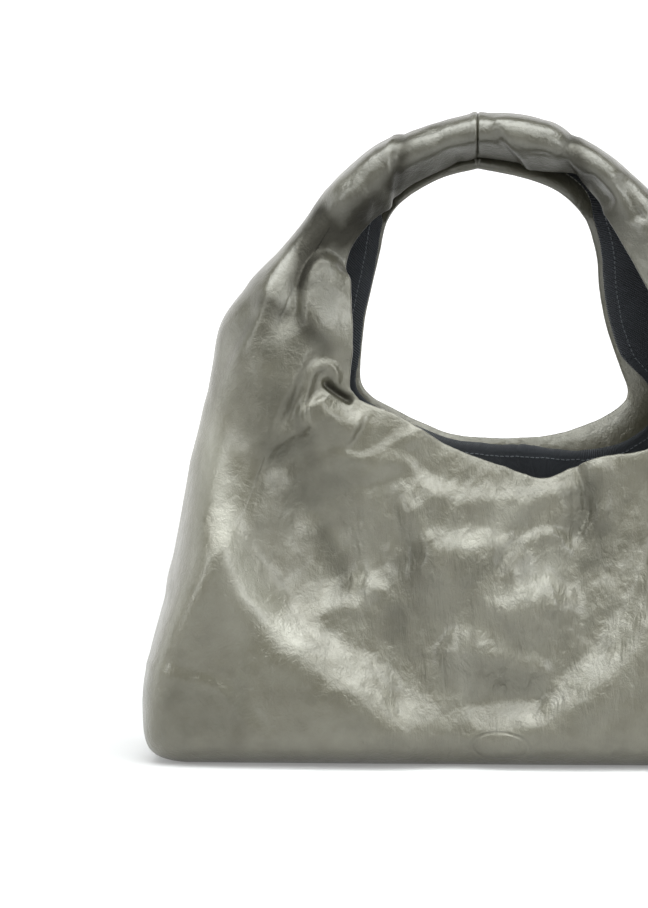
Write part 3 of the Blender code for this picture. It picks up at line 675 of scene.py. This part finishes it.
def lifted_form(side, t, shares, strokes):
    """The form with its folds, and the normals of the folded sheet."""
    base = form(side, t, shares)
    out = normals_of(base, side)
    x, z = base[:, :, 0], base[:, :, 2]
    height = relief(strokes, x, z, SEEDS[side])
    share = np.broadcast_to(shares, x.shape)
    height = np.where(height < 0, height * (1 - held_flat(side, x, z)), height)
    if side > 0:
        height *= 1 - 0.8 * held_flat(side, x, z)
    height *= (1 - np.where(height < 0, 0.95, 0.5) * smooth(1.2, 1.8, share)) * (1 - smooth(2.2, 2.9, share))
    out[:, :, 2] *= np.where(out[:, :, 2] < 0, smooth(0.0, 0.030, z), 1.0)
    out[:, :, 0] *= smooth(0.0, 0.008, np.minimum(t, T_END - t))[:, None]
    dip = seam_dip(t)[:, None] * smooth(0.02, 0.25, share)
    points = base + out * (height + dip)[:, :, None]
    normals = normals_of(points, side)
    normals[[0, -1], :, 0] = 0.0
    return points, normals / np.linalg.norm(normals, axis=2, keepdims=True)


def facing_width(t, side):
    """How wide the turned-in hide is at each place along the lip."""
    ribs = ribs_at(t)
    x, z = (ribs[:, 2], ribs[:, 3]) if side < 0 else (ribs[:, 4], ribs[:, 5])
    on_arm = smooth(0.218, 0.250, z)
    mouth = 0.006 + 0.015 * smooth(0.010, 0.070, x)
    arm = np.where(x < 0, 0.0035, 0.0055)
    closed = 1 - smooth(0.0045, 0.012, ribs[:, 7])
    arm = arm * (1 - closed) + 0.013 * closed
    return mouth * (1 - on_arm) + arm * on_arm


def below_lip(points, normals, distance):
    """Each row's place and normal at this distance from the lip, measured down the wall."""
    used = min(60, points.shape[1])
    steps = np.linalg.norm(np.diff(points[:, :used], axis=1), axis=2)
    wall = np.concatenate([np.zeros((len(points), 1)), np.cumsum(steps, axis=1)], axis=1)
    column = np.array([np.interp(d, row, np.arange(used)) for d, row in zip(distance, wall)])
    low = np.clip(column.astype(int), 0, used - 2)
    part = (column - low)[:, None]
    rows = np.arange(len(points))
    place = points[rows, low] * (1 - part) + points[rows, low + 1] * part
    normal = normals[rows, low] * (1 - part) + normals[rows, low + 1] * part
    return place, normal


def own_side(points, side):
    """Points kept on their own half, where the handle is closed."""
    points[..., 1] = side * np.maximum(side * points[..., 1], 0.0003)
    return points


def make_leather(name, side, t, points, normals, nodes):
    """One hide: from the free edge inside, round the rolled lip, down the outside to the seam."""
    lip, out = points[:, 0], normals[:, 0]
    down = points[:, 3] - lip
    down /= np.linalg.norm(down, axis=1, keepdims=True)
    out = out - down * np.sum(out * down, axis=1, keepdims=True)
    out /= np.linalg.norm(out, axis=1, keepdims=True)
    roll = [(lip - out * ROLL * (1 - math.cos(a)) - down * ROLL * math.sin(a),
             out * math.cos(a) - down * math.sin(a)) for a in np.linspace(0, math.pi, 8)[1:]]
    facing = []
    for share in np.linspace(0, 1, 9)[1:]:
        place, normal = below_lip(points, normals, facing_width(t, side) * share)
        facing.append((place - normal * 2 * ROLL, -normal))
    inside = (roll + facing)[::-1]
    points = np.concatenate([own_side(np.stack([p for p, _ in inside], axis=1), side), points], axis=1)
    normals = np.concatenate([np.stack([n for _, n in inside], axis=1), normals], axis=1)
    obj = sheet_object(name, points, normals, LEATHER, LEATHER_LOOK, nodes)
    # each point's painted shade and painted highlight, on both skins
    layer = obj.data.attributes.new("painted_shade_and_highlight", "FLOAT", "POINT")
    shade_and_highlight_map = painted_shade_and_highlight(side, points[:, :, 0], points[:, :, 2]).ravel()
    layer.data.foreach_set("value", np.concatenate([shade_and_highlight_map, shade_and_highlight_map]).astype(np.float32))
    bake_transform(obj)


def make_lining(name, side, t, points, normals, nodes):
    """The twill, from under the turned-in hide down to the seam."""
    first = np.maximum(facing_width(t, side) - TUCK, 0.0)
    top = 20
    last = np.linalg.norm(np.diff(points[:, :top + 1], axis=1), axis=2).sum(axis=1)
    deep = points - normals * LINING_DEPTH
    moved = deep.copy()
    for j in range(top):
        place, normal = below_lip(points, normals, first + (last - first) * (j / top))
        moved[:, j] = place - normal * LINING_DEPTH
    obj = sheet_object(name, own_side(moved, side), -normals, TWILL, TWILL_LOOK, nodes)
    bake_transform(obj)


def spindle_rows(places, ways, ups, length, width, height):
    """Points and faces of one small rounded thread or tooth at each place."""
    sides = 6
    angles = np.arange(sides) * 2 * math.pi / sides
    across = np.cross(ups, ways)
    points, faces = [], []
    for place, way, up, flat in zip(places, ways, ups, across):
        start = len(points)
        for along, round_part in ((-0.5, 0.45), (-0.32, 1.0), (0.32, 1.0), (0.5, 0.45)):
            for a in angles:
                points.append(place + way * length * along
                              + round_part * (flat * width * math.cos(a) + up * height * math.sin(a)) / 2)
        for ring in range(3):
            for k in range(sides):
                q = start + ring * sides
                faces.append((q + k, q + (k + 1) % sides, q + sides + (k + 1) % sides, q + sides + k))
        faces.append(tuple(start + k for k in range(sides))[::-1])
        faces.append(tuple(start + 3 * sides + k for k in range(sides)))
    return points, faces


def make_stitches(name, side, t, points, normals, from_edge, depth, look):
    """A row of stitches beside the free edge of the turned-in hide."""
    place, normal = below_lip(points, normals, facing_width(t, side) + from_edge)
    place = own_side(place - normal * depth, side)
    run = np.concatenate([[0], np.cumsum(np.linalg.norm(np.diff(place, axis=0), axis=1))])
    at = np.arange(STITCH * 1.5, run[-1] - STITCH * 1.5, STITCH)
    middle = np.stack([np.interp(at, run, place[:, k]) for k in range(3)], axis=1)
    ahead = np.stack([np.interp(at + 0.0005, run, place[:, k]) for k in range(3)], axis=1)
    up = -np.stack([np.interp(at, run, normal[:, k]) for k in range(3)], axis=1)
    way = ahead - middle
    way /= np.linalg.norm(way, axis=1, keepdims=True)
    up -= way * np.sum(up * way, axis=1, keepdims=True)
    up /= np.linalg.norm(up, axis=1, keepdims=True)
    verts, faces = spindle_rows(middle, way, up, STITCH * 0.74, 0.00075, 0.0007)
    obj = mesh_of(name, verts, faces)
    obj.data.materials.append(look)
    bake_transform(obj)


# ---- pocket and zip -----------------------------------------------------------------------------

POCKET_ORIGIN = np.array((0.0, 0.042379, 0.12052))
POCKET_UP = np.array((0.0, -0.15253, 0.9883))
POCKET_IN = np.array((0.0, -0.9883, -0.15253))


def make_pocket_cloth(name, node, look):
    """A cloth patch in place of a flat CAD one: soft, a little full, its edges held down by the stitches."""
    low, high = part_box(node)
    corners = np.array([(0, y, z) for y in (low[1], high[1]) for z in (low[2], high[2])]) - POCKET_ORIGIN
    up, inward = corners @ POCKET_UP, corners @ POCKET_IN
    middle, half_high = (up.min() + up.max()) / 2, (up.max() - up.min()) / 2 - 0.0008
    half_wide = (high[0] - low[0]) / 2
    face = np.sort(inward)[1:3].mean()
    u, v = np.meshgrid(np.linspace(-1, 1, 61), np.linspace(-1, 1, 25), indexing="ij")
    edge = np.minimum((1 - np.abs(u)) * half_wide, (1 - np.abs(v)) * half_high)
    x, z = u * half_wide, v * half_high
    fullness = smooth(0.0, min(0.012, half_high), edge)
    lift = fullness * (0.0006 + 0.0005 * noise_at(x, z, 0.02, 41))
    points = (POCKET_ORIGIN + x[..., None] * np.array((1, 0, 0)) + (middle + z)[..., None] * POCKET_UP
              + (face + lift)[..., None] * POCKET_IN)
    normals = np.broadcast_to(POCKET_IN, points.shape)
    obj = sheet_object(name, points, normals, TWILL, look, (node,))
    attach(obj, "pouch")


def make_zip_teeth(name, node, look):
    """The coil of one tape: a row of small round turns."""
    low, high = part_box(node)
    count = int((high[0] - low[0]) / 0.0011)
    x = np.linspace(low[0] + 0.0006, high[0] - 0.0006, count)
    middle = (low + high) / 2
    places = np.stack([x, np.full(count, middle[1]), np.full(count, middle[2])], axis=1)
    ways = np.tile(POCKET_UP + np.array((0.22, 0, 0)), (count, 1))
    ways /= np.linalg.norm(ways, axis=1, keepdims=True)
    inward = np.tile(POCKET_IN, (count, 1))
    verts, faces = spindle_rows(places, ways, inward, high[2] - low[2], 0.00085, 0.0014)
    obj = mesh_of(name, verts, faces)
    obj.data.materials.append(look)
    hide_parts(node)
    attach(obj, "pouch")


# ---- stage --------------------------------------------------------------------------------------

def make_stage():
    """Floor, curve and wall in one, round the bag: high and pale behind it, low elsewhere."""
    radius, fillet, sides = 3.8, 0.6, 64
    line = [(0.9, 0.0), (2.0, 0.0), (radius - fillet, 0.0)]
    line += [(radius - fillet + fillet * math.sin(a), fillet - fillet * math.cos(a))
             for a in np.linspace(0, math.pi / 2, 8)[1:]]
    turns = np.arange(sides) * 2 * math.pi / sides
    points = [(0.0, 0.0, 0.0)] + [(r * math.cos(a), r * math.sin(a), z) for r, z in line for a in turns]
    points += [(radius * math.cos(a), radius * math.sin(a), 1.1 + 2.4 * smooth(0.3, 0.8, math.sin(a)))
               for a in turns]
    faces = [(0, 1 + k, 1 + (k + 1) % sides) for k in range(sides)]
    for ring in range(len(line)):
        q = 1 + ring * sides
        faces += [(q + k, q + sides + k, q + sides + (k + 1) % sides, q + (k + 1) % sides)
                  for k in range(sides)]
    room = mesh_of("room", points, faces)
    look = Look("pale paper")
    at = look.position()
    axes = look.add("ShaderNodeSeparateXYZ", {0: at}).outputs
    away = look.add("ShaderNodeVectorMath", {0: at}, operation="LENGTH").outputs["Value"]
    tone = look.mix(look.remap(away, 1.2, 2.6), (0.50, 0.50, 0.50), (0.30, 0.30, 0.30))
    glow = look.math("ADD", look.remap(axes[1], 0.2, 2.5, 0.22, 0.85), look.remap(away, 1.0, 2.6, 0.0, 0.15))
    room.data.materials.append(look.set(Base_Color=tone, Roughness=0.9, Emission_Color=(1, 1, 1, 1),
                                        Emission_Strength=glow))


def make_light(name, place, aim, size, power, colour=(0.97, 1.0, 1.0)):
    data = bpy.data.lights.new(name, "AREA")
    data.shape = "RECTANGLE"
    data.size, data.size_y = size
    data.energy = power
    data.color = colour
    obj = bpy.data.objects.new(name, data)
    bpy.context.scene.collection.objects.link(obj)
    obj.location = place
    obj.rotation_euler = (Vector(aim) - Vector(place)).to_track_quat("-Z", "Y").to_euler()


def make_camera():
    aim = Vector((-0.106, 0.0, 0.187))
    distance, rise = 2.4, math.radians(4.0)
    view_height = 0.563
    data = bpy.data.cameras.new("camera")
    data.sensor_fit = "VERTICAL"
    data.sensor_height = 36.0
    data.lens = data.sensor_height * distance / view_height
    obj = bpy.data.objects.new("camera", data)
    bpy.context.scene.collection.objects.link(obj)
    obj.location = (0.0, -distance * math.cos(rise), aim.z + distance * math.sin(rise))
    obj.rotation_euler = (aim - obj.location).to_track_quat("-Z", "Y").to_euler()
    bpy.context.scene.camera = obj


def make_lights():
    target = (0.0, 0.0, 0.15)
    make_light("top", (0.0, -0.3, 1.6), target, (2.4, 1.1), 50)
    make_light("high front", (0.0, -1.25, 1.30), target, (2.2, 0.6), 15)
    make_light("upper right", (1.4, -1.35, 0.85), target, (0.6, 0.7), 9)
    make_light("left front", (-1.5, -1.3, 0.8), target, (0.5, 1.0), 8)
    make_light("right front", (1.7, -1.0, 0.6), target, (0.5, 0.8), 4)
    make_light("left", (-1.6, 0.1, 0.5), target, (1.0, 1.2), 6)
    make_light("right", (1.6, 0.1, 0.5), target, (1.0, 1.2), 7)
    world = bpy.data.worlds.new("studio")
    world.use_nodes = True
    world.node_tree.nodes["Background"].inputs["Color"].default_value = (1, 1, 1, 1)
    world.node_tree.nodes["Background"].inputs["Strength"].default_value = 0.05
    bpy.context.scene.world = world
    bpy.context.scene.view_settings.view_transform = "Standard"


# ---- everything ---------------------------------------------------------------------------------

make_camera()
make_lights()
make_stage()
EDGE_THREAD = thread_look("edge thread", (0.20, 0.20, 0.17))
LINING_THREAD = thread_look("lining thread", (0.10, 0.11, 0.12))
ring = ring_rows(SPACING)
shares = wall_shares(*COLUMNS)
for half, side, folds in (("front", -1, FRONT_FOLDS), ("back", 1, BACK_FOLDS)):
    sheet, outward = lifted_form(side, ring, shares, folds)
    make_leather(half + "_leather", side, ring, sheet, outward,
                 [half + part for part in ("_panel", "_panel_left_arm", "_panel_right_arm", "_mouth_facing")])
    make_stitches(half + "_edge_stitches", side, ring, sheet, outward, EDGE_SEAM, 2 * ROLL,
                  EDGE_THREAD)
    make_stitches(half + "_lining_stitches", side, ring, sheet, outward, LINING_SEAM, LINING_DEPTH,
                  LINING_THREAD)
    # the lining takes every second row and column of the leather, so that it keeps clear of its folds
    rows, columns = (np.append(np.arange(0, n - 2, 2), n - 1) for n in sheet.shape[:2])
    make_lining(half + "_twill", side, ring[rows], sheet[rows][:, columns], outward[rows][:, columns],
                [half + part for part in ("_lining", "_lining_left_arm", "_lining_right_arm")])

for node in ("pocket_front", "pocket_top_strip"):
    make_pocket_cloth(node + "_cloth", node, TWILL_LOOK)
NYLON = thread_look("nylon", (0.022, 0.022, 0.025))
for part in ("upper", "lower"):
    make_zip_teeth("zip_teeth_" + part, "zip_coil_" + part, NYLON)

METAL = metal_look()
CARRIED = {
    "base_board": board_look(),
    "handle_tape": cloth_look("webbing", 0.0022, (0.30, 0.28, 0.24), (0.58, 0.55, 0.49)),
    "zip_tape_upper": cloth_look("zip tape", 0.0009, (0.010, 0.011, 0.013), (0.045, 0.048, 0.055)),
}
CARRIED["zip_tape_lower"] = CARRIED["zip_tape_upper"]
for node in ("snap_stud", "snap_socket", "snap_washer_front", "snap_washer_back", "zip_stop_closed_end",
             "zip_stop_open_end", "zip_slider", "zip_pull"):
    CARRIED[node] = METAL
for node, look in CARRIED.items():
    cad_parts[node].data.materials.clear()
    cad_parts[node].data.materials.append(look)
